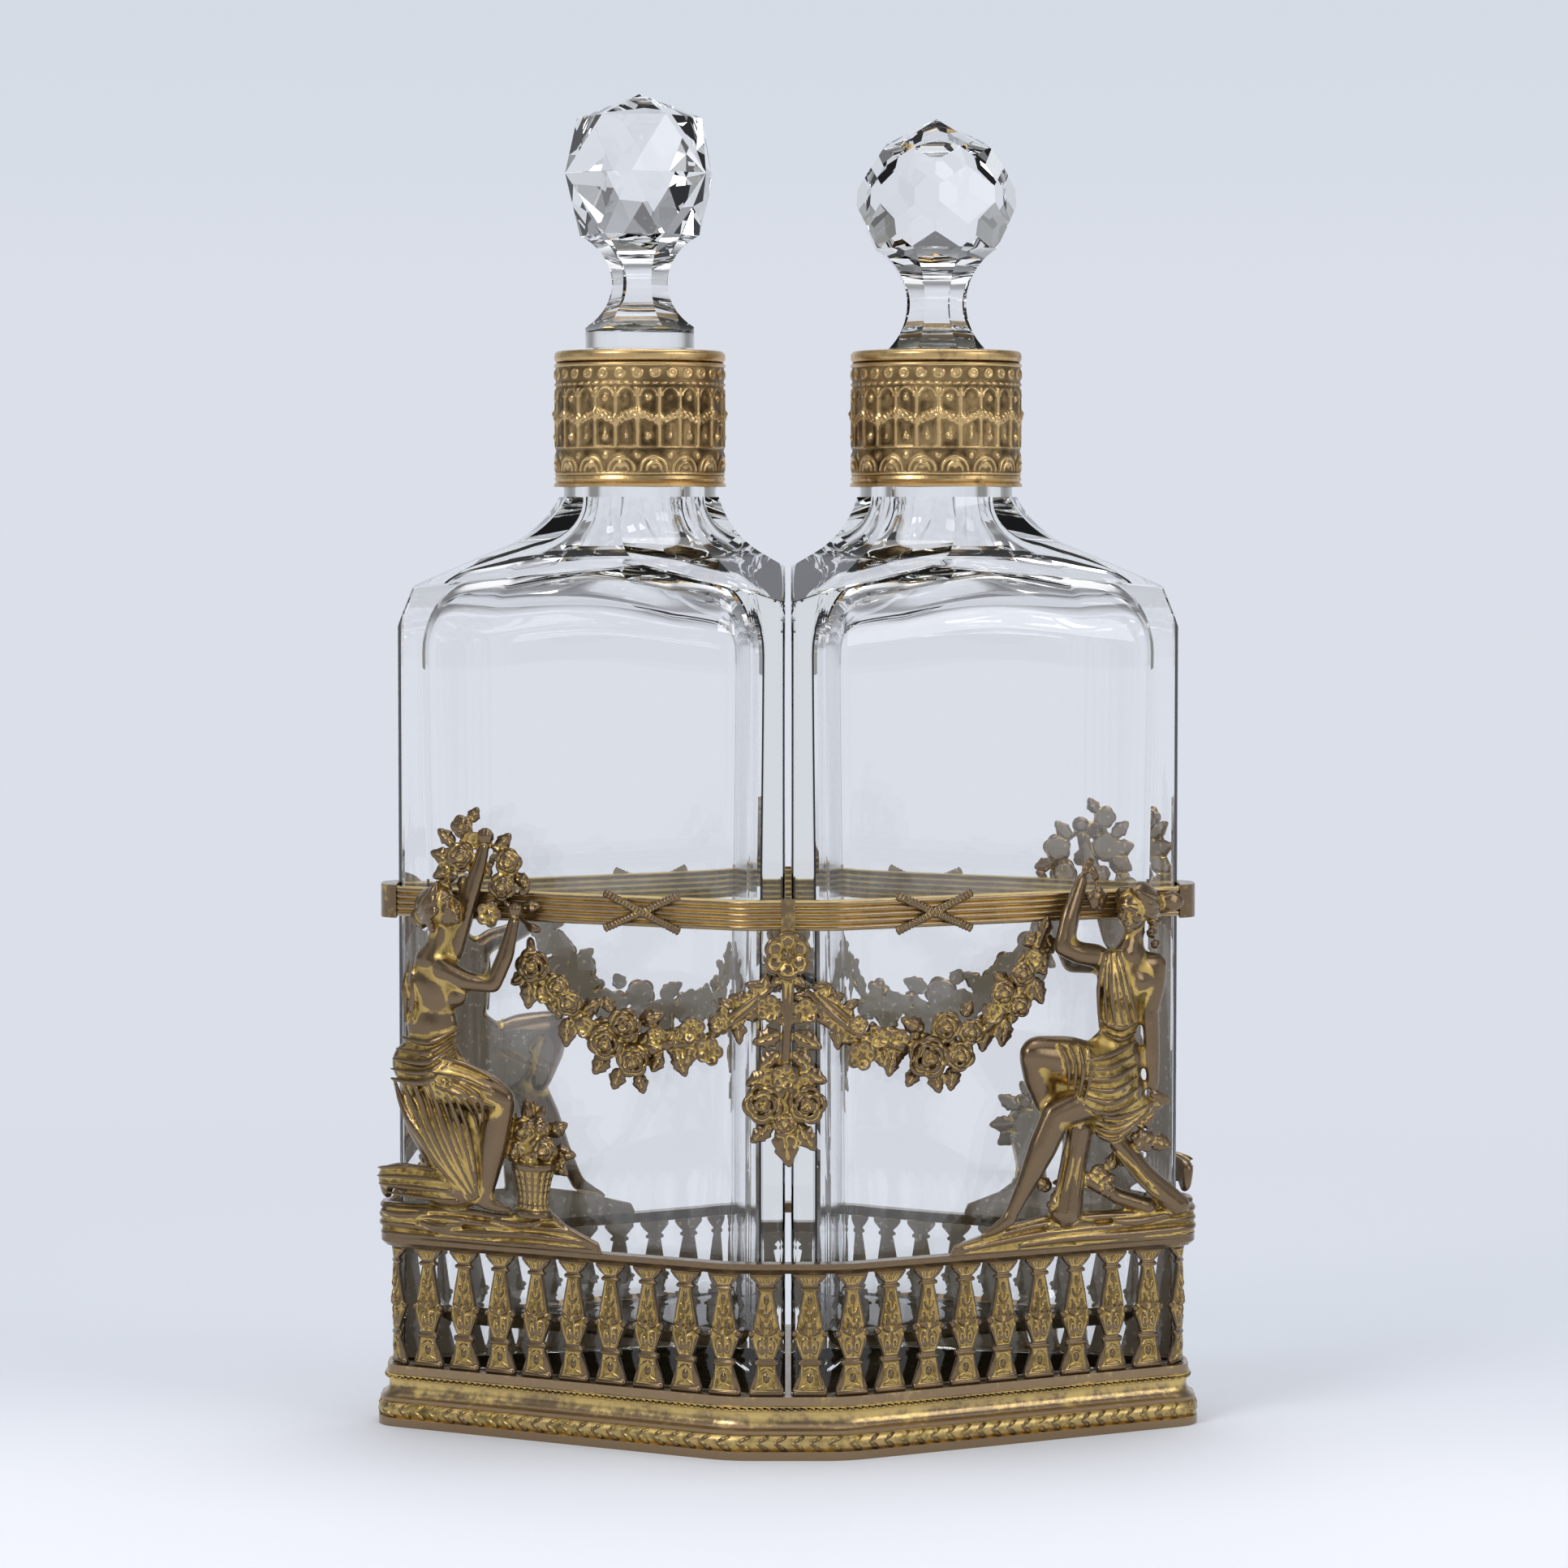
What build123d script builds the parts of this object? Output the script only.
"""Perfume caddy: two cut-glass scent bottles in a gilt figural stand.

Millimetres.  The origin is the middle of the underside, +Z is up, -Y is the
front and +X is the right-hand bottle.  The stand turns into itself after half
a turn about Z: each rear piece is the front piece turned by 180 degrees.
"""
from build123d import *
import math
import os
from dataclasses import dataclass

# Plan of the two bottles together: a lozenge whose four corners are cut
GLASS_FLAT = 35.5            # centre of the stand to the narrow front facet
GLASS_END = 68.6             # centre of the stand to the outer end
FRONT_FACET_HALF = 6.295     # half the width of the narrow front facet
END_FACET_HALF = 2.372       # half the width of the outer end facet
BOTTLE_GAP = 1.0             # between the two inner faces
GLASS_INNER_BEVEL = 0.7
GLASS_END_BEVEL = 1.0
SLANT = math.atan2(GLASS_FLAT - END_FACET_HALF, GLASS_END - FRONT_FACET_HALF)
GLASS_SLANT = GLASS_FLAT * math.cos(SLANT) + FRONT_FACET_HALF * math.sin(SLANT)

# Bottle
BASE_HEIGHT = 10.6           # table to the floor that the bottles stand on
NECK_X = 26.0                # neck axis to the centre of the stand
BODY_HEIGHT = 152.7          # floor to the top of the shoulder
NECK_LENGTH = 24.0
NECK_RADIUS = 13.45
SHOULDER_LEDGE = 0.45        # shoulder's top outside the neck
GLASS_WALL = 3.4
GLASS_BOTTOM = 7.0
CAVITY_CORNER = 5.0
CAVITY_TIP = 2.2
CAVITY_BOTTOM_FILLET = 2.0
CAVITY_CROWN = 11.3          # shoulder's top down to the cavity's own shoulder
CAVITY_ROOF_DROP = 11.0      # fall of the roof from the neck to the farthest corner
CAVITY_ROOF_FILLET = 9.0
PASSAGE_LENGTH = 20.0        # plain passage above the cavity's shoulder
SHOULDER_TOP = BASE_HEIGHT + BODY_HEIGHT
SHOULDER_NECK_RADIUS = NECK_RADIUS + SHOULDER_LEDGE
NECK_TOP = SHOULDER_TOP + NECK_LENGTH
CAVITY_SHOULDER = SHOULDER_TOP - CAVITY_CROWN

# Shoulder cuts: compass angle from the front towards the outer end, the
# steepness where the cut starts and where it runs out, and the wheel radius
SHOULDER_CUTS = (
    (-11.5, 80.0, 18.0, 14.0),
    (33.5, 80.0, 42.0, 19.0),
    (78.5, 64.0, 24.0, 17.0),
    (-56.5, 80.0, 22.0, 14.0),
)
INNER_SIDE_CUT = (-90.0, 75.0, 30.0, 16.0)
CUT_REACH = 90.0

# Stopper plugs and their seat
PLUG_TOP_RADIUS = 8.3
PLUG_END_RADIUS = 7.3
PLUG_LENGTH = 20.0           # from the bottle's mouth down
PLUG_CLEARANCE = 0.12
PLUG_END_CHAMFER = 0.6
SEAT_BELOW_PLUG = 1.0        # ground seat below the end of the plug

# Star-cut stopper of the left bottle, heights above the bottle's mouth:
# rings of corners as radius, height, turn in pitches
STAR_SIDES = 6
STAR_RINGS = ((10.5, 21.7, 0.0), (14.2, 32.2, 0.5), (11.0, 42.2, 0.0))
STAR_APEX = 46.4
STAR_TWIST = -4.0            # degrees, as the stopper happens to stand
STAR_FOOT_RADIUS = PLUG_TOP_RADIUS + 1.25
STAR_FOOT_BOTTOM = 2.0
STAR_WAIST = (4.25, 13.3)    # narrowest place of the stem: middle of a facet, height
STAR_FOOT_CUT = 5.0          # lowest point of the scalloped edge above the foot

# Diamond-cut stopper of the right bottle, heights above the bottle's mouth
BALL_RADIUS = 12.9           # centre to a facet
BALL_CENTRE = 27.4
BALL_SIDES = 8
BALL_ROWS = ((62.0, 0.5), (33.0, 0.0), (4.0, 0.5), (-25.0, 0.0))   # elevation, turn in pitches
BALL_STOCK = 1.25            # uncut ball, as a share of the cut one
BALL_STEM_TOP = 19.3         # where the stem runs into the lowest row of facets
BALL_WAIST = (5.15, 9.7)
BALL_FOOT_RADIUS = PLUG_TOP_RADIUS + 0.6
BALL_FOOT_BOTTOM = 1.9
BALL_FOOT_FLARE = 0.5        # how far below the foot its hollow cuts would run out

# Collars on the bottle necks
CEMENT_THICKNESS = 0.6
COLLAR_WALL = 0.95
COLLAR_ABOVE_SHOULDER = 1.8
COLLAR_ABOVE_MOUTH = 1.5
RIM_HEIGHT = 2.1
RIM_CLEARANCE = 0.7          # round the plug
RIM_ROLL_SHARE = 0.9         # rounding of the rim, as a share of what it has room for
RIM_LEDGE = 0.1              # rim above the glass mouth
BASE_RING_HEIGHT = 1.9
BASE_RING_CLEARANCE = 0.15   # round the glass neck
CEMENT_CLEARANCE = 0.02
FRIEZE_HEIGHT = 3.6
ARCADE_HEIGHT = 13.0
COLLAR_BORE = NECK_RADIUS + CEMENT_THICKNESS
COLLAR_RADIUS = COLLAR_BORE + COLLAR_WALL
COLLAR_BOTTOM = SHOULDER_TOP + COLLAR_ABOVE_SHOULDER
COLLAR_TOP = NECK_TOP + COLLAR_ABOVE_MOUTH

# Base
FELT_THICKNESS = 1.2
FLOOR_THICKNESS = 1.0
BASE_FIT = 0.1               # loose fit of the board inside the moulding
STUD_RADIUS = 1.5
STUD_CLEARANCE = 0.2
STUD_NEAR = (12.0, 20.0)     # places of two studs; the other two are these turned
STUD_FAR = (44.0, 0.0)
NUT_ACROSS = 5.5
NUT_HEIGHT = 2.4
NUT_POCKET = 3.2             # radius of the recess that hides a nut

# Pierced gallery; its middle stands off the glass by these gaps
GALLERY_OFF_SLANT = 2.2
GALLERY_OFF_FLAT = 0.9
GALLERY_OFF_END = 1.0
GALLERY_FLAT_RADIUS = 13.3
GALLERY_END_RADIUS = 3.4
GALLERY_HEIGHT = 22.9
GALLERY_STRIP = 1.8
GALLERY_STRIP_OUT = 2.2
BALUSTER_SPACING = 7.4       # about; a whole number of them goes round half the stand
BALUSTER_THICKNESS = 1.2
GALLERY_TOP = BASE_HEIGHT + GALLERY_HEIGHT

# Reeded rail
RAIL_OFF_GLASS = 0.6         # back of the rail to a slanted glass face
RAIL_OFF_FACET = 0.3         # back of the rail to the narrow facets and the outer ends
RAIL_FLAT_RADIUS = 9.3
RAIL_END_RADIUS = 3.4
RAIL_BOTTOM = 90.0
RAIL_HEIGHT = 5.1
RAIL_HALF_DEPTH = 1.3
REEDS = 5
REED_DEPTH = 0.45            # crest of a reed above the grooves beside it
FERRULE_EXTRA = 0.35
FERRULE_LENGTH = 1.5         # from the rail's end to where the ferrule stops, along X
RIBBON_X = 25.0
RIBBON_HALF_LENGTH = 6.3
RIBBON_HALF_HEIGHT = 3.1
RIBBON_WIDTH = 1.7
RIBBON_THICKNESS = 0.8
CLIP_WIDTH = 2.4
CLIP_THICKNESS = 0.7
CLIP_OVERHANG = 0.4

# Cast relief pieces in front of the rail.  Their outlines are drawn in front view
# for the three places named DRAWN, and stretch between the real places.
DRAWN_END = 70.1
DRAWN_GALLERY_TOP = 33.5
DRAWN_CLIP_BOTTOM = 89.6
FIGURE_THICKNESS = 1.8
GARLAND_THICKNESS = 1.6
RELIEF_END_INSET = 0.1       # relief pieces stop this far inside the rail's ends
HALF_GAP = 0.05              # half the seam between a front and a rear piece
DEEP = 60.0                  # longer than the stand is deep

os.makedirs("parts", exist_ok=True)


@dataclass(frozen=True)
class Outline:
    """A cut-cornered lozenge seen from above; `out` moves every face outwards."""

    slant: float             # centre to a slanted face
    flat: float              # centre to the narrow front and rear faces
    end: float               # centre to the narrow left and right faces
    flat_radius: float       # rounding beside a front or rear face
    end_radius: float        # rounding beside an end face

    def front_corner(self, out=0.0):
        """Half width of the narrow front face."""
        apex = (self.slant + out) / math.cos(SLANT)
        return (apex - self.flat - out) / math.tan(SLANT)

    def end_corner(self, out=0.0):
        """Half width of the narrow end face."""
        apex = (self.slant + out) / math.cos(SLANT)
        return apex - (self.end + out) * math.tan(SLANT)

    def face(self, out=0.0):
        """The whole outline as a filled face."""
        front_x, end_y = self.front_corner(out), self.end_corner(out)
        flat_y, end_x = self.flat + out, self.end + out
        quarter = [(front_x, -flat_y), (end_x, -end_y), (end_x, end_y), (front_x, flat_y)]
        points = quarter + [(-x, -y) for x, y in quarter]
        plan = Polygon(*points, align=None)
        near = [v for v in plan.vertices() if abs(v.X) < end_x / 2]
        plan = fillet(near, self.flat_radius + out)
        far = [v for v in plan.vertices() if abs(abs(v.X) - end_x) < 0.001]
        return fillet(far, self.end_radius + out)

    def front_path(self, out=0.0):
        """Open path round the front half, from the right end to the left."""
        front_x, end_y = self.front_corner(out), self.end_corner(out)
        flat_y, end_x = self.flat + out, self.end + out
        points = [(end_x, -HALF_GAP), (end_x, -end_y), (front_x, -flat_y),
                  (-front_x, -flat_y), (-end_x, -end_y), (-end_x, -HALF_GAP)]
        end_r, flat_r = self.end_radius + out, self.flat_radius + out
        return FilletPolyline(*points, radius=[end_r, flat_r, flat_r, end_r])

    def half_length(self):
        """Length of the path round the front half."""
        return self.front_path().length + 2 * HALF_GAP


GALLERY = Outline(slant=GLASS_SLANT + GALLERY_OFF_SLANT, flat=GLASS_FLAT + GALLERY_OFF_FLAT,
                  end=GLASS_END + GALLERY_OFF_END, flat_radius=GALLERY_FLAT_RADIUS,
                  end_radius=GALLERY_END_RADIUS)
RAIL = Outline(slant=GLASS_SLANT + RAIL_OFF_GLASS + RAIL_HALF_DEPTH,
               flat=GLASS_FLAT + RAIL_OFF_FACET + RAIL_HALF_DEPTH,
               end=GLASS_END + RAIL_OFF_FACET + RAIL_HALF_DEPTH,
               flat_radius=RAIL_FLAT_RADIUS, end_radius=RAIL_END_RADIUS)
RELIEF = Outline(slant=RAIL.slant + RAIL_HALF_DEPTH, flat=RAIL.flat + RAIL_HALF_DEPTH,
                 end=RAIL.end - RELIEF_END_INSET, flat_radius=RAIL.flat_radius + RAIL_HALF_DEPTH,
                 end_radius=RAIL_END_RADIUS + RELIEF_END_INSET)
BASE_IN = -1.9               # inner face of the base moulding, from the gallery


def save(name, shape):
    """Write one sub-part."""
    shape.label = name
    export_step(shape, f"parts/{name}.step")


def group(pieces):
    """Separate solids that share one sub-part."""
    return Compound([solid for piece in pieces for solid in piece.solids()])


def turned(shape):
    """The rear copy of a front piece."""
    return shape.rotate(Axis.Z, 180)


def save_front_and_rear(name, shape):
    """Write a front piece and its rear copy."""
    save(f"front_{name}", shape)
    save(f"rear_{name}", turned(shape))


def ring_wall(inner, outer, bottom, top):
    """Upright wall between two outline faces."""
    return Pos(0, 0, bottom) * extrude(outer - inner, top - bottom)


def swept_round_front(outline, profile):
    """Sweep a profile of (outwards, up) round the front half of an outline."""
    path = outline.front_path()
    start = Plane(origin=path @ 0, x_dir=(1, 0, 0), z_dir=(0, -1, 0))
    return sweep(start * profile, path=path)


def upright(sketch):
    """Extrude a front-view sketch of (x, z) from the middle to the front."""
    front_view = Plane(origin=(0, -HALF_GAP, 0), x_dir=(1, 0, 0), z_dir=(0, -1, 0))
    return extrude(front_view * sketch, DEEP, dir=(0, -1, 0))


# Base

def base_profile():
    """Section of the base moulding, (outwards from the gallery, height)."""
    foot, torus, cove = 2.8, 2.5, 1.0
    lower = Polyline((BASE_IN, 0), (foot, 0), (foot, 1.5), (torus - 0.3, 1.6))
    leaf_roll = ThreePointArc((torus - 0.3, 1.6), (foot, 2.9), (torus - 0.3, 4.2))
    ridge = Polyline((torus - 0.3, 4.2), (torus - 0.1, 4.4), (torus - 0.1, 5.0))
    hollow = ThreePointArc((torus - 0.1, 5.0), (cove + 0.2, 6.0), (cove, 8.0))
    band = Polyline((cove, 8.0), (cove + 0.5, 8.2), (cove + 0.5, 9.0), (cove + 0.2, 9.1),
                    (cove + 0.2, BASE_HEIGHT), (BASE_IN, BASE_HEIGHT), (BASE_IN, 0))
    return make_face(Curve() + [lower, leaf_roll, ridge, hollow, band])


def stud_points():
    """Places of the four studs."""
    (near_x, near_y), (far_x, far_y) = STUD_NEAR, STUD_FAR
    return [(near_x, -near_y), (-near_x, near_y), (far_x, far_y), (-far_x, -far_y)]


def build_base():
    """Felt, board, floor plate, studs, nuts and the two halves of the moulding."""
    inside = GALLERY.face(BASE_IN - BASE_FIT)
    floor_bottom = BASE_HEIGHT - FLOOR_THICKNESS
    floor = Pos(0, 0, floor_bottom) * extrude(inside, FLOOR_THICKNESS)
    felt = extrude(inside, FELT_THICKNESS)
    board = Pos(0, 0, FELT_THICKNESS) * extrude(inside, floor_bottom - FELT_THICKNESS)
    studs, nuts = [], []
    nut_top = FELT_THICKNESS + NUT_HEIGHT
    for x, y in stud_points():
        place = Pos(x, y, FELT_THICKNESS)
        board -= place * extrude(Circle(NUT_POCKET), NUT_HEIGHT)
        board -= place * extrude(Circle(STUD_RADIUS + STUD_CLEARANCE), BASE_HEIGHT)
        studs.append(place * extrude(Circle(STUD_RADIUS), floor_bottom - FELT_THICKNESS))
        hexagon = RegularPolygon(NUT_ACROSS / 2, 6, major_radius=False)
        nuts.append(place * extrude(hexagon - Circle(STUD_RADIUS), nut_top - FELT_THICKNESS))
    save("floor_plate", floor)
    save("base_felt", felt)
    save("base_board", board)
    save("floor_studs", group(studs))
    save("floor_nuts", group(nuts))
    save_front_and_rear("base_moulding", swept_round_front(GALLERY, base_profile()))


# Gallery

def baluster_outline():
    """Flat outline of one baluster, its foot at height 0 and its middle at x = 0."""
    height = GALLERY_TOP - GALLERY_STRIP - BASE_HEIGHT
    head = height - 21.1
    right = [(2.95, 0), (2.95, 1.0), (1.55, 5.0), (2.0, 5.1), (2.0, 6.0), (1.3, 6.2),
             (2.7, 9.6), (2.4, 10.9), (1.15, head + 17.9), (1.75, head + 18.0),
             (1.75, head + 18.5), (1.2, head + 18.8), (2.8, head + 20.4), (2.8, height)]
    left = [(-x, z) for x, z in reversed(right)]
    ear_x, ear_z, ear_radius = 2.6, 10.6, 0.6
    shape = Polygon(*right, *left, align=None)
    return shape + Pos(ear_x, ear_z) * Circle(ear_radius) + Pos(-ear_x, ear_z) * Circle(ear_radius)


def build_gallery():
    """Balusters of the front half with the right-hand end one, and the top strip."""
    path = GALLERY.front_path()
    count = round(GALLERY.half_length() / BALUSTER_SPACING)
    pitch = GALLERY.half_length() / count
    plate = extrude(baluster_outline(), BALUSTER_THICKNESS / 2, both=True)
    balusters = []
    for index in range(count):
        along = min(max(index * pitch - HALF_GAP, 0.0), path.length) / path.length
        point, direction = path @ along, path % along
        if index == 0:
            point = Vector(GALLERY.end, 0, 0)
        outward = direction.cross(Vector(0, 0, 1)) * -1
        seat = Plane(origin=(point.X, point.Y, BASE_HEIGHT), x_dir=direction * -1, z_dir=outward)
        balusters.append(seat * plate)
    save_front_and_rear("balusters", group(balusters))
    strip = Polyline((-BALUSTER_THICKNESS / 2, 0), (1.3, 0), (GALLERY_STRIP_OUT, 0.8),
                     (GALLERY_STRIP_OUT, GALLERY_STRIP), (-BALUSTER_THICKNESS / 2, GALLERY_STRIP),
                     close=True)
    profile = Pos(0, GALLERY_TOP - GALLERY_STRIP) * make_face(strip)
    save_front_and_rear("gallery_rail", swept_round_front(GALLERY, profile))


# Reeded rail

def reed_profile():
    """Section of the reeded rail: a flat back and a row of half-round reeds."""
    pitch = RAIL_HEIGHT / REEDS
    crest, valley, back = RAIL_HALF_DEPTH, RAIL_HALF_DEPTH - REED_DEPTH, -RAIL_HALF_DEPTH
    section = Polygon((back, 0), (valley, 0), (valley, RAIL_HEIGHT), (back, RAIL_HEIGHT), align=None)
    for reed in range(REEDS):
        low, high = reed * pitch, (reed + 1) * pitch
        bump = ThreePointArc((valley, low), (crest, (low + high) / 2), (valley, high))
        section += make_face(Curve() + [bump, Line((valley, high), (valley, low))])
    return Pos(0, RAIL_BOTTOM) * section


def rail_corner_x():
    """Where a ferrule stops along the slanted face."""
    return RAIL.end - FERRULE_LENGTH


def build_rail():
    """Front and rear rails, the ferrules that join them, the ties and the clips."""
    rail = swept_round_front(RAIL, reed_profile())
    middle = Box(2 * rail_corner_x(), 2 * DEEP, 4 * RAIL_BOTTOM)
    save_front_and_rear("reeded_rail", rail & middle)

    back, crest = -RAIL_HALF_DEPTH, RAIL_HALF_DEPTH + FERRULE_EXTRA / 2
    low, high = RAIL_BOTTOM - FERRULE_EXTRA, RAIL_BOTTOM + RAIL_HEIGHT + FERRULE_EXTRA
    wall = ring_wall(RAIL.face(back), RAIL.face(crest), low, high)
    cap = wall & Pos(rail_corner_x() + DEEP, 0, 0) * Box(2 * DEEP, 2 * DEEP, 4 * RAIL_BOTTOM)
    save("right_rail_ferrule", cap)
    save("left_rail_ferrule", turned(cap))

    wall = ring_wall(RELIEF.face(), RELIEF.face(RIBBON_THICKNESS), 0, 2 * RAIL_BOTTOM)
    middle_z = RAIL_BOTTOM + RAIL_HEIGHT / 2
    tilt = math.degrees(math.atan2(RIBBON_HALF_HEIGHT, RIBBON_HALF_LENGTH))
    length = 2 * math.hypot(RIBBON_HALF_LENGTH, RIBBON_HALF_HEIGHT)
    strip = Rectangle(length, RIBBON_WIDTH)
    cross = Rot(0, 0, tilt) * strip + Rot(0, 0, -tilt) * strip
    for side, x in (("left", -RIBBON_X), ("right", RIBBON_X)):
        tie = upright(Pos(x, middle_z) * cross) & wall
        save_front_and_rear(f"{side}_ribbon_tie", tie)

    wall = ring_wall(RELIEF.face(), RELIEF.face(CLIP_THICKNESS), 0, 2 * RAIL_BOTTOM)
    clip = Pos(0, middle_z) * Rectangle(CLIP_WIDTH, RAIL_HEIGHT + 2 * CLIP_OVERHANG)
    save_front_and_rear("centre_clip", upright(clip) & wall)


# Cast relief pieces

def drawn(point):
    """Place on this stand of a point (x, z) of the front-view drawing."""
    along = point[0] / DRAWN_END
    rise = (point[1] - DRAWN_GALLERY_TOP) / (DRAWN_CLIP_BOTTOM - DRAWN_GALLERY_TOP)
    clip_bottom = RAIL_BOTTOM - CLIP_OVERHANG
    return along * RELIEF.end, GALLERY_TOP + rise * (clip_bottom - GALLERY_TOP)


def arc_through(*points):
    """Arc through three points of the front-view drawing."""
    return ThreePointArc(*(drawn(point) for point in points))


def round_rim(station, angle):
    """Point at an angle on the round of a station (x, z, radius)."""
    x, z, radius = station
    return x + radius * math.cos(angle), z + radius * math.sin(angle)


def limb(start, end):
    """Tapered capsule between two round stations, each drawn as x, z, radius."""
    distance = math.hypot(end[0] - start[0], end[1] - start[1])
    heading = math.atan2(end[1] - start[1], end[0] - start[0])
    spread = math.acos((start[2] - end[2]) / distance)
    low0, high0 = round_rim(start, heading - spread), round_rim(start, heading + spread)
    low1, high1 = round_rim(end, heading - spread), round_rim(end, heading + spread)
    edges = [Line(drawn(low0), drawn(low1)), arc_through(low1, round_rim(end, heading), high1),
             Line(drawn(high1), drawn(high0)),
             arc_through(high0, round_rim(start, heading + math.pi), low0)]
    return make_face(Curve() + edges)


def chain(*stations):
    """Tapered capsules from each station to the next."""
    shape = limb(stations[0], stations[1])
    for start, end in zip(stations[1:], stations[2:]):
        shape += limb(start, end)
    return shape


def disc(*station):
    """Round spot of the front-view drawing, given as x, z, radius."""
    east, north, west, south = (round_rim(station, turn * math.pi / 2) for turn in range(4))
    return make_face(Curve() + [arc_through(east, north, west), arc_through(west, south, east)])


def patch(*corners):
    """Straight-edged patch of the front-view drawing."""
    return Polygon(*(drawn(corner) for corner in corners), align=None)


def kneeling_silhouette():
    """Kneeling figure with raised arms, and the flower basket beside the raised knee."""
    shape = disc(-60.0, 92.0, 4.0) + disc(-64.4, 89.6, 2.6)
    shape += chain((-60.8, 88.0, 2.2), (-61.3, 82.6, 3.9), (-62.6, 69.5, 4.5), (-62.4, 62.5, 5.2))
    shape += disc(-58.6, 76.6, 2.6)
    shape += chain((-60.6, 81.6, 2.3), (-50.2, 80.3, 1.7), (-46.9, 89.4, 1.35), (-47.6, 92.3, 1.9))
    shape += chain((-57.6, 88.0, 2.4), (-53.2, 99.5, 1.7), (-52.2, 106.0, 1.6))
    shape += chain((-61.5, 61.2, 4.9), (-49.7, 60.0, 3.0), (-52.4, 43.0, 1.6), (-48.6, 39.6, 1.0))
    shape += patch((-67.3, 64), (-66.6, 56), (-61.5, 47), (-56, 38), (-52.5, 40), (-51.5, 55),
                   (-55, 65))
    shape += chain((-56.0, 42.4, 3.1), (-66.5, 44.4, 2.4), (-69.4, 43.0, 2.2), (-69.4, 39.0, 1.4))
    shape += patch((-48.4, 48.6), (-46.6, 38.5), (-40.9, 38.5), (-40.0, 48.6))
    shape += chain((-46.4, 51.0, 2.3), (-42.6, 50.6, 2.9), (-39.0, 49.0, 1.6))
    shape += chain((-43.4, 54.0, 2.2), (-44.8, 58.4, 0.9))
    shape += chain((-56.6, 106.0, 1.8), (-56.9, 101.0, 2.3), (-58.6, 98.6, 1.9))
    shape += chain((-56.6, 106.0, 1.2), (-52.2, 105.4, 1.3))
    shape += chain((-51.4, 105.0, 1.2), (-48.4, 100.6, 1.9), (-49.4, 95.6, 2.1), (-47.6, 91.8, 1.9))
    return shape


def kneeling_ground():
    """Rocky ground under the kneeling figure."""
    top = DRAWN_GALLERY_TOP
    return patch((-73.5, top), (-73.5, 39.6), (-60, 39.8), (-52, 39.0), (-40.5, 39.6),
                 (-38.4, 37.6), (-32.7, 35.0), (-32.2, top))


def seated_silhouette():
    """Seated figure with one arm on the rail, on a vine-grown stump."""
    shape = disc(60.5, 92.2, 3.9) + disc(66.0, 92.3, 2.5)
    shape += chain((60.5, 88.5, 2.0), (60.0, 81.0, 4.9), (57.0, 70.5, 4.5), (56.3, 63.0, 5.5))
    shape += chain((63.6, 87.4, 1.6), (62.4, 84.0, 2.2))
    shape += chain((56.8, 84.6, 2.4), (48.2, 86.0, 2.1), (51.2, 95.5, 1.5), (52.3, 100.2, 0.9))
    shape += chain((53.2, 97.4, 1.0), (53.8, 92.4, 1.4))
    shape += chain((63.3, 82.6, 2.3), (62.7, 71.5, 1.7), (62.8, 61.0, 1.3), (64.4, 58.9, 1.5))
    shape += chain((55.0, 65.4, 4.4), (42.2, 67.2, 3.3), (45.6, 59.5, 2.6))
    shape += chain((56.0, 57.6, 4.8), (45.5, 55.8, 3.0), (39.4, 39.8, 1.6), (33.8, 36.6, 1.1))
    shape += patch((46, 57), (50, 67), (61, 66), (61.5, 57), (57, 51.5), (51, 54))
    shape += chain((51.2, 52.5, 2.2), (49.6, 38.5, 1.7))
    shape += chain((57.0, 53.0, 2.6), (60.5, 45.0, 1.9), (67.4, 37.5, 1.7))
    shape += chain((52.0, 47.0, 1.6), (60.5, 45.4, 1.5))
    shape += chain((64.4, 58.9, 1.6), (62.6, 54.4, 2.2), (61.0, 50.4, 1.2))
    return shape


def seated_ground():
    """Rocky ground under the seated figure."""
    top = DRAWN_GALLERY_TOP
    return patch((27.8, top), (28.6, 35.2), (33, 36.4), (38, 37.6), (48, 38.4), (60, 39.2),
                 (73.5, 38.8), (73.5, top))


def left_garland_silhouette():
    """Garland from the kneeling figure's hand to the rosette."""
    return chain((-43.3, 86.7, 2.1), (-41.9, 82.0, 2.3), (-38.9, 76.4, 2.7), (-34.2, 71.6, 2.8),
                 (-28.4, 68.2, 3.7), (-23.2, 68.6, 2.6), (-17.6, 70.8, 2.4), (-11.6, 74.0, 1.8),
                 (-7.3, 77.4, 1.2))


def right_garland_silhouette():
    """Garland from the rosette up to the rail beside the seated figure."""
    return chain((7.2, 77.2, 1.2), (11.6, 73.4, 2.0), (19.0, 70.0, 2.6), (26.0, 68.4, 3.8),
                 (32.4, 72.0, 2.6), (36.6, 76.4, 2.4), (40.2, 81.0, 2.3), (42.6, 85.4, 1.6),
                 (43.4, 90.6, 1.0))


def pendant_silhouette():
    """Rosette and the bunch of flowers that hangs from it under the centre clip."""
    lug = patch((-1.0, 85.0), (1.0, 85.0), (1.0, 89.6), (-1.0, 89.6))
    shape = chain((0, 85.9, 3.7), (0, 80.5, 2.2), (-0.9, 76.2, 4.2), (-0.6, 70.5, 2.8),
                  (-1.1, 62.2, 6.6), (-1.2, 56.5, 3.6), (0, 50.7, 0.9))
    shape += chain((-4.6, 79.2, 1.1), (0, 82.6, 1.6), (4.6, 79.0, 1.1))
    return shape + lug


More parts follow.
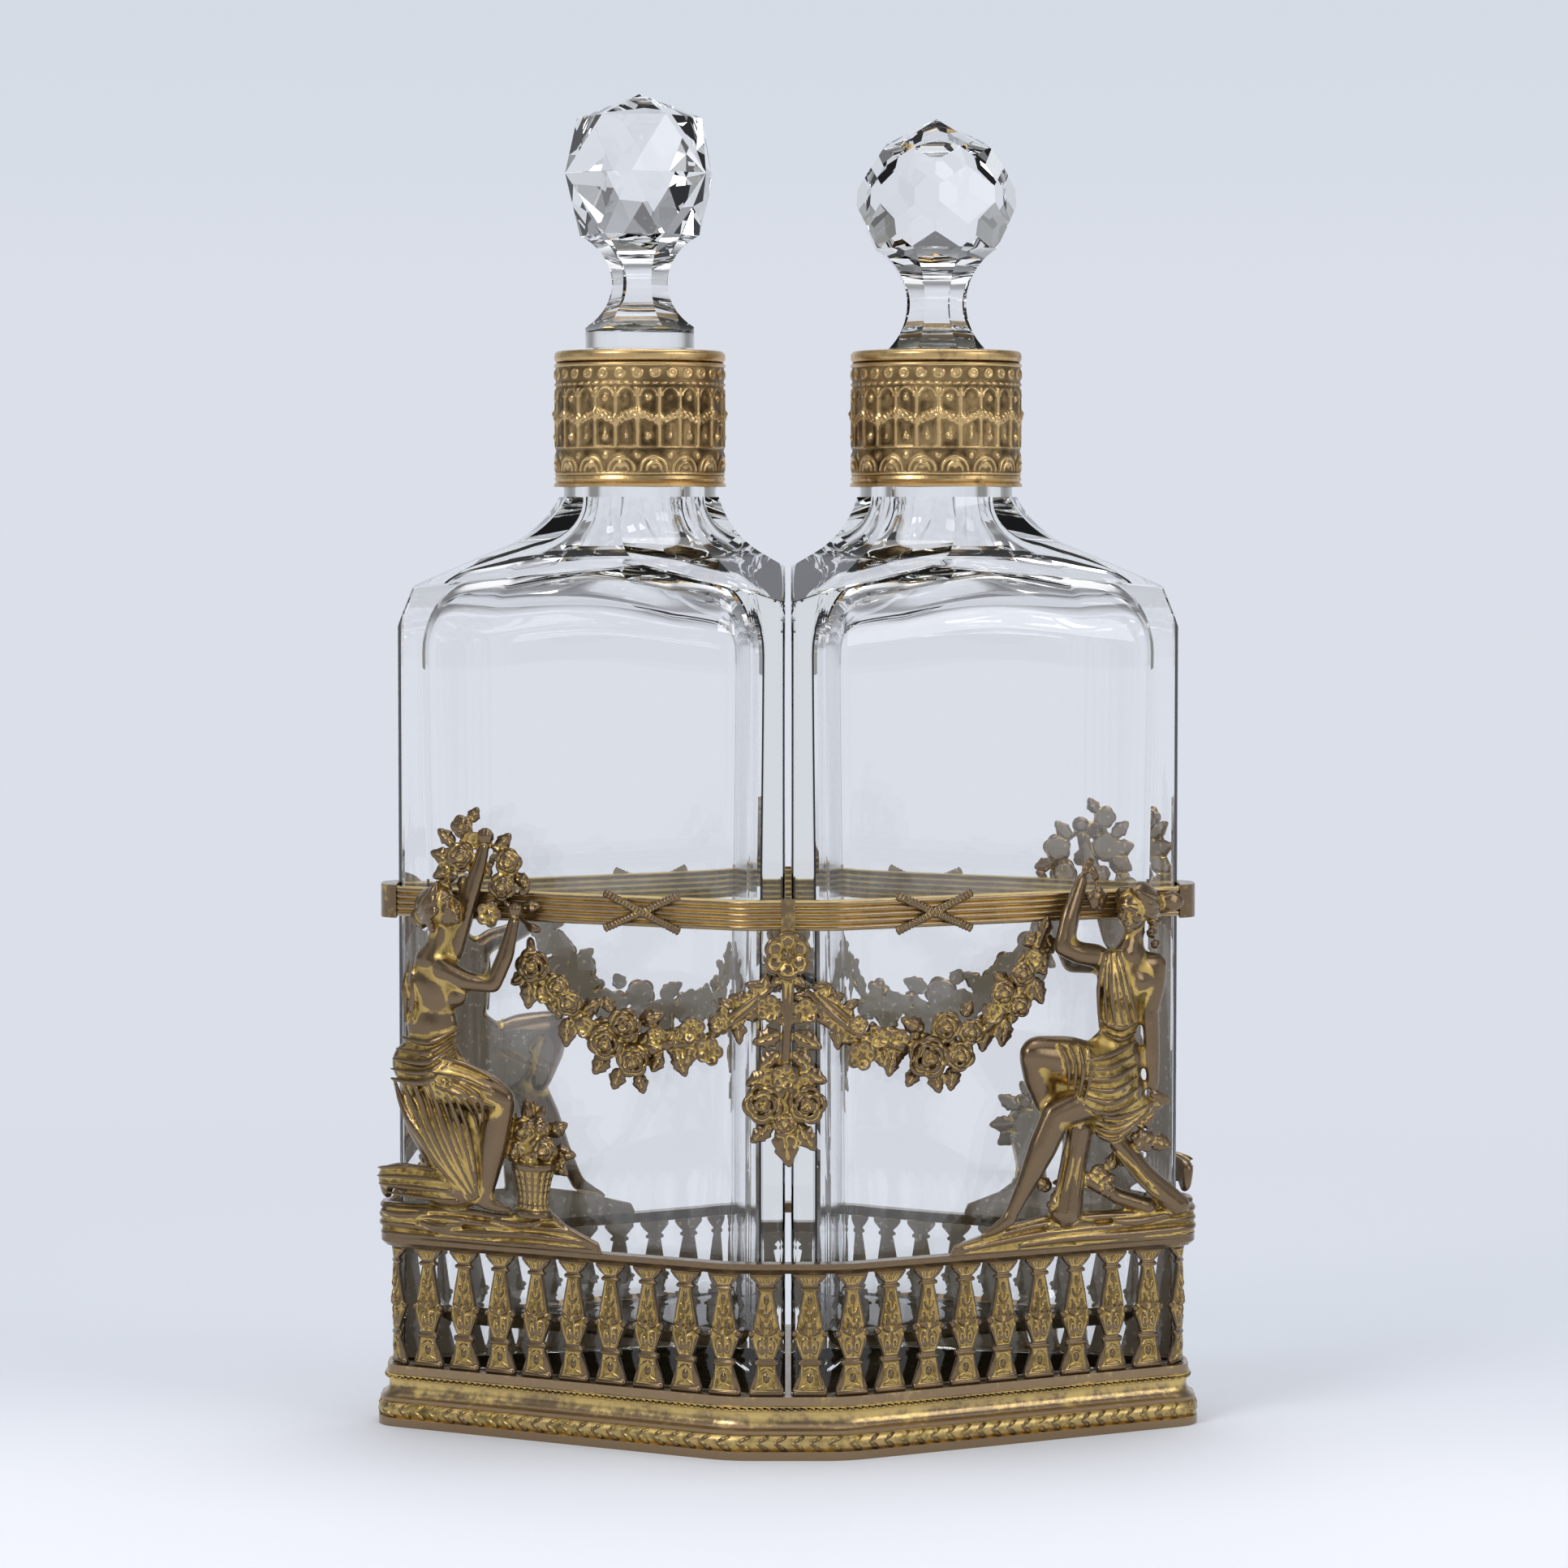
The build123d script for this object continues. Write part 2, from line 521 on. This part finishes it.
def build_relief():
    """Figures, garlands and pendants."""
    plate = ring_wall(RELIEF.face(), RELIEF.face(FIGURE_THICKNESS), 0, DEEP * 2)
    shelf = ring_wall(GALLERY.face(-BALUSTER_THICKNESS / 2), RELIEF.face(FIGURE_THICKNESS),
                      0, DEEP * 2)
    for name, figure, ground in (("kneeling_figure", kneeling_silhouette, kneeling_ground),
                                 ("seated_figure", seated_silhouette, seated_ground)):
        body = (upright(figure()) & plate) + (upright(ground()) & shelf)
        save_front_and_rear(name, body)
    plate = ring_wall(RELIEF.face(), RELIEF.face(GARLAND_THICKNESS), 0, DEEP * 2)
    for name, silhouette in (("left_garland", left_garland_silhouette),
                             ("right_garland", right_garland_silhouette),
                             ("pendant", pendant_silhouette)):
        save_front_and_rear(name, upright(silhouette()) & plate)


# Bottles

def slant_y(distance, x):
    """Depth at x of a line lying at a distance from the centre, like a slanted face."""
    return distance / math.cos(SLANT) - x * math.tan(SLANT)


def shoulder_cut(angle, start, finish, wheel):
    """What one concave cut takes off a shoulder, placed round the neck axis."""
    start, finish = math.radians(start), math.radians(finish)
    middle = (start + finish) / 2

    def on_wheel(slope):
        out = SHOULDER_NECK_RADIUS + wheel * (math.sin(start) - math.sin(slope))
        return out, SHOULDER_TOP - wheel * (math.cos(slope) - math.cos(start))

    top = (SHOULDER_NECK_RADIUS, SHOULDER_TOP)
    run_out_x, run_out_z = on_wheel(finish)
    far = (CUT_REACH, run_out_z - (CUT_REACH - run_out_x) * math.tan(finish))
    curve = ThreePointArc(top, on_wheel(middle), (run_out_x, run_out_z))
    rest = Polyline((run_out_x, run_out_z), far, (CUT_REACH, SHOULDER_TOP + 10),
                    (SHOULDER_NECK_RADIUS, SHOULDER_TOP + 10), top)
    section = Plane.XZ * make_face(Curve() + [curve, rest])
    tool = extrude(section, CUT_REACH, both=True)
    return Pos(NECK_X, 0, 0) * Rot(0, 0, angle - 90) * tool


def bottle_body():
    """Outside of the right bottle: a prism with cut shoulders and a round neck."""
    inner = BOTTLE_GAP / 2
    knee = (GLASS_SLANT / math.cos(SLANT) - GLASS_FLAT) / math.tan(SLANT)
    tip = slant_y(GLASS_SLANT, GLASS_END)
    plan = Polygon((inner, -GLASS_FLAT), (knee, -GLASS_FLAT), (GLASS_END, -tip),
                   (GLASS_END, tip), (knee, GLASS_FLAT), (inner, GLASS_FLAT), align=None)
    plan = chamfer([v for v in plan.vertices() if v.X < inner + 0.01], GLASS_INNER_BEVEL)
    plan = chamfer([v for v in plan.vertices() if v.X > GLASS_END - 0.01], GLASS_END_BEVEL)
    body = Pos(0, 0, BASE_HEIGHT) * extrude(plan, SHOULDER_TOP - BASE_HEIGHT)
    for angle, start, finish, wheel in SHOULDER_CUTS:
        body -= shoulder_cut(angle, start, finish, wheel)
        body -= shoulder_cut(180 - angle, start, finish, wheel)
    body -= shoulder_cut(*INNER_SIDE_CUT)
    neck = extrude(Circle(NECK_RADIUS), NECK_TOP - SHOULDER_TOP)
    return body + Pos(NECK_X, 0, SHOULDER_TOP) * neck


def plug_radius(depth):
    """Radius of a stopper's ground plug at a depth below the bottle's mouth."""
    return PLUG_TOP_RADIUS - (PLUG_TOP_RADIUS - PLUG_END_RADIUS) * depth / PLUG_LENGTH


def bottle_inside():
    """Hollow of the right bottle: cavity, passage and ground seat for the plug."""
    inner = BOTTLE_GAP / 2 + GLASS_WALL
    slant = GLASS_SLANT - GLASS_WALL
    tip_x = slant / math.sin(SLANT)
    plan = Polygon((inner, -slant_y(slant, inner)), (tip_x, 0), (inner, slant_y(slant, inner)),
                   align=None)
    plan = fillet([v for v in plan.vertices() if v.X < inner + 0.01], CAVITY_CORNER)
    plan = fillet([v for v in plan.vertices() if v.X > tip_x - 0.01], CAVITY_TIP)
    floor = BASE_HEIGHT + GLASS_BOTTOM
    prism = Pos(0, 0, floor) * extrude(plan, CAVITY_SHOULDER + PASSAGE_LENGTH - floor)
    prism = fillet(prism.faces().sort_by(Axis.Z)[0].edges(), CAVITY_BOTTOM_FILLET)

    passage = plug_radius(PLUG_LENGTH) + PLUG_CLEARANCE
    reach = GLASS_END
    roof = FilletPolyline((passage, CAVITY_SHOULDER + PASSAGE_LENGTH), (passage, CAVITY_SHOULDER),
                          (reach, CAVITY_SHOULDER - CAVITY_ROOF_DROP), radius=CAVITY_ROOF_FILLET)
    walls = Polyline((reach, CAVITY_SHOULDER - CAVITY_ROOF_DROP), (reach, 0), (0, 0),
                     (0, CAVITY_SHOULDER + PASSAGE_LENGTH),
                     (passage, CAVITY_SHOULDER + PASSAGE_LENGTH))
    bell = revolve(Plane.XZ * make_face(Curve() + [roof, walls]), Axis.Z)
    cavity = prism & Pos(NECK_X, 0, 0) * bell

    seat_bottom = NECK_TOP - PLUG_LENGTH - SEAT_BELOW_PLUG
    height = NECK_TOP - seat_bottom
    seat = Cone(passage, PLUG_TOP_RADIUS + PLUG_CLEARANCE, height, align=(Align.CENTER,
                Align.CENTER, Align.MIN))
    return cavity + Pos(NECK_X, 0, seat_bottom) * seat


def band_profile(points):
    """Face for turning, from points of (radius, height)."""
    return Plane.XZ * make_face(Polyline(*points, close=True))


def collar_solids():
    """Collar, base ring, top rim and cement of the right bottle."""
    outer, bore = COLLAR_RADIUS, COLLAR_BORE
    ring_top = COLLAR_BOTTOM + BASE_RING_HEIGHT
    rim_bottom = COLLAR_TOP - RIM_HEIGHT
    frieze = ring_top + FRIEZE_HEIGHT
    arcade = frieze + ARCADE_HEIGHT
    sleeve = band_profile([
        (bore, ring_top), (outer - 0.1, ring_top), (outer - 0.1, frieze), (outer, frieze + 0.2),
        (outer - 0.25, frieze + 0.6), (outer - 0.25, arcade), (outer, arcade + 0.2),
        (outer, arcade + 0.6), (outer - 0.25, arcade + 0.8), (outer - 0.25, rim_bottom),
        (bore, rim_bottom)])
    ring_bore = NECK_RADIUS + BASE_RING_CLEARANCE
    ring = band_profile([
        (ring_bore, COLLAR_BOTTOM), (outer + 0.1, COLLAR_BOTTOM),
        (outer + 0.1, COLLAR_BOTTOM + 0.5), (outer - 0.3, COLLAR_BOTTOM + 0.8),
        (outer, COLLAR_BOTTOM + 1.3), (outer - 0.2, ring_top), (ring_bore, ring_top)])
    mouth, rim_bore = NECK_TOP + RIM_LEDGE, PLUG_TOP_RADIUS + RIM_CLEARANCE
    section = make_face(Polyline(
        (bore, rim_bottom), (outer, rim_bottom), (outer, COLLAR_TOP), (rim_bore, COLLAR_TOP),
        (rim_bore, mouth), (bore, mouth), close=True))
    roll = [v for v in section.vertices() if v.X > outer - 0.01]
    rim = Plane.XZ * fillet(roll, RIM_ROLL_SHARE * min(RIM_HEIGHT / 2, outer - bore))
    cement = band_profile([
        (NECK_RADIUS + CEMENT_CLEARANCE, ring_top), (bore - CEMENT_CLEARANCE, ring_top),
        (bore - CEMENT_CLEARANCE, rim_bottom), (NECK_RADIUS + CEMENT_CLEARANCE, rim_bottom)])
    place = Pos(NECK_X, 0, 0)
    return {"collar": place * revolve(sleeve, Axis.Z),
            "collar_base_ring": place * revolve(ring, Axis.Z),
            "collar_rim": place * revolve(rim, Axis.Z),
            "collar_cement": place * revolve(cement, Axis.Z)}


def ring_points(radius, height, turn):
    """Corners of one ring of the star-cut stopper."""
    step = 2 * math.pi / STAR_SIDES
    return [Vector(radius * math.cos((i + turn) * step), radius * math.sin((i + turn) * step), height)
            for i in range(STAR_SIDES)]


def star_head():
    """Faceted head: triangles between rings of corners, closed flat below and at the apex."""
    corners = [ring_points(*ring) for ring in STAR_RINGS]
    apex = Vector(0, 0, STAR_APEX)
    facets = [corners[0]]
    for level in range(len(corners) - 1):
        low, high = corners[level], corners[level + 1]
        back = 1 if STAR_RINGS[level + 1][2] < STAR_RINGS[level][2] else 0
        for i in range(STAR_SIDES):
            after = (i + 1) % STAR_SIDES
            tip, next_tip = high[(i + back) % STAR_SIDES], high[(i + back + 1) % STAR_SIDES]
            facets += [(low[i], low[after], tip), (low[after], next_tip, tip)]
    top = corners[-1]
    facets += [(top[i], top[(i + 1) % STAR_SIDES], apex) for i in range(STAR_SIDES)]
    return Solid(Shell([Face(Wire.make_polygon(corner, close=True)) for corner in facets]))


def hollow_cuts(stock, top, waist, bottom, sides):
    """Cut a stem hollow on every side; each point is middle of a facet, height."""
    reach = 4 * top[0]
    curve = ThreePointArc(top, waist, bottom)
    rest = Polyline(bottom, (reach, bottom[1]), (reach, top[1]), top)
    tool = extrude(Plane.XZ * make_face(Curve() + [curve, rest]), reach, both=True)
    for i in range(sides):
        stock -= Rot(0, 0, i * 360 / sides + 90) * tool
    return stock


def plug(top):
    """Ground plug from a height above the mouth down into the neck."""
    profile = Polyline((0, top), (PLUG_TOP_RADIUS, top), (PLUG_TOP_RADIUS, 0),
                       (PLUG_END_RADIUS, PLUG_END_CHAMFER - PLUG_LENGTH),
                       (PLUG_END_RADIUS - PLUG_END_CHAMFER, -PLUG_LENGTH), (0, -PLUG_LENGTH),
                       close=True)
    return revolve(Plane.XZ * make_face(profile), Axis.Z)


def pillar(radius, bottom, top):
    """Round stock on the neck axis."""
    return Pos(0, 0, bottom) * extrude(Circle(radius), top - bottom)


def star_stopper():
    """Hexagonal star-cut stopper, its neck's mouth at the origin."""
    ring_radius, ring_height, _ = STAR_RINGS[0]
    top = (ring_radius * math.cos(math.pi / STAR_SIDES), ring_height)
    waist = STAR_WAIST[1]
    stock = pillar(STAR_FOOT_RADIUS, STAR_FOOT_BOTTOM, waist) + pillar(ring_radius, waist, ring_height)
    stem = hollow_cuts(stock, top, STAR_WAIST, (STAR_FOOT_RADIUS, STAR_FOOT_CUT), STAR_SIDES)
    return Rot(0, 0, STAR_TWIST) * (star_head() + stem + plug(STAR_FOOT_BOTTOM))


def ball_stopper():
    """Round stopper cut all over with diamonds, its neck's mouth at the origin."""
    centre = Vector(0, 0, BALL_CENTRE)
    head = Pos(centre) * Sphere(BALL_RADIUS * BALL_STOCK)
    for elevation, turn in BALL_ROWS:
        lift = math.radians(elevation)
        for i in range(BALL_SIDES):
            around = (i + turn) * 2 * math.pi / BALL_SIDES
            normal = Vector(math.cos(lift) * math.cos(around), math.cos(lift) * math.sin(around),
                            math.sin(lift))
            cut = Plane(origin=centre + normal * BALL_RADIUS, z_dir=normal)
            head = split(head, bisect_by=cut, keep=Keep.BOTTOM)
    lowest = math.radians(BALL_ROWS[-1][0])
    drop = BALL_CENTRE - BALL_STEM_TOP
    top = ((BALL_RADIUS + drop * math.sin(lowest)) / math.cos(lowest), BALL_STEM_TOP)
    stock = head + pillar(BALL_FOOT_RADIUS, BALL_FOOT_BOTTOM, BALL_STEM_TOP)
    bottom = (BALL_FOOT_RADIUS, BALL_FOOT_BOTTOM - BALL_FOOT_FLARE)
    return hollow_cuts(stock, top, BALL_WAIST, bottom, BALL_SIDES) + plug(BALL_FOOT_BOTTOM)


def build_bottles():
    """Both bottles with their collars and stoppers."""
    glass = bottle_body() - bottle_inside()
    pieces = {"bottle": glass, **collar_solids()}
    for name, shape in pieces.items():
        save(f"right_{name}", shape)
        save(f"left_{name}", mirror(shape, about=Plane.YZ))
    save("left_stopper", Pos(-NECK_X, 0, NECK_TOP) * star_stopper())
    save("right_stopper", Pos(NECK_X, 0, NECK_TOP) * ball_stopper())


build_base()
build_gallery()
build_rail()
build_relief()
build_bottles()
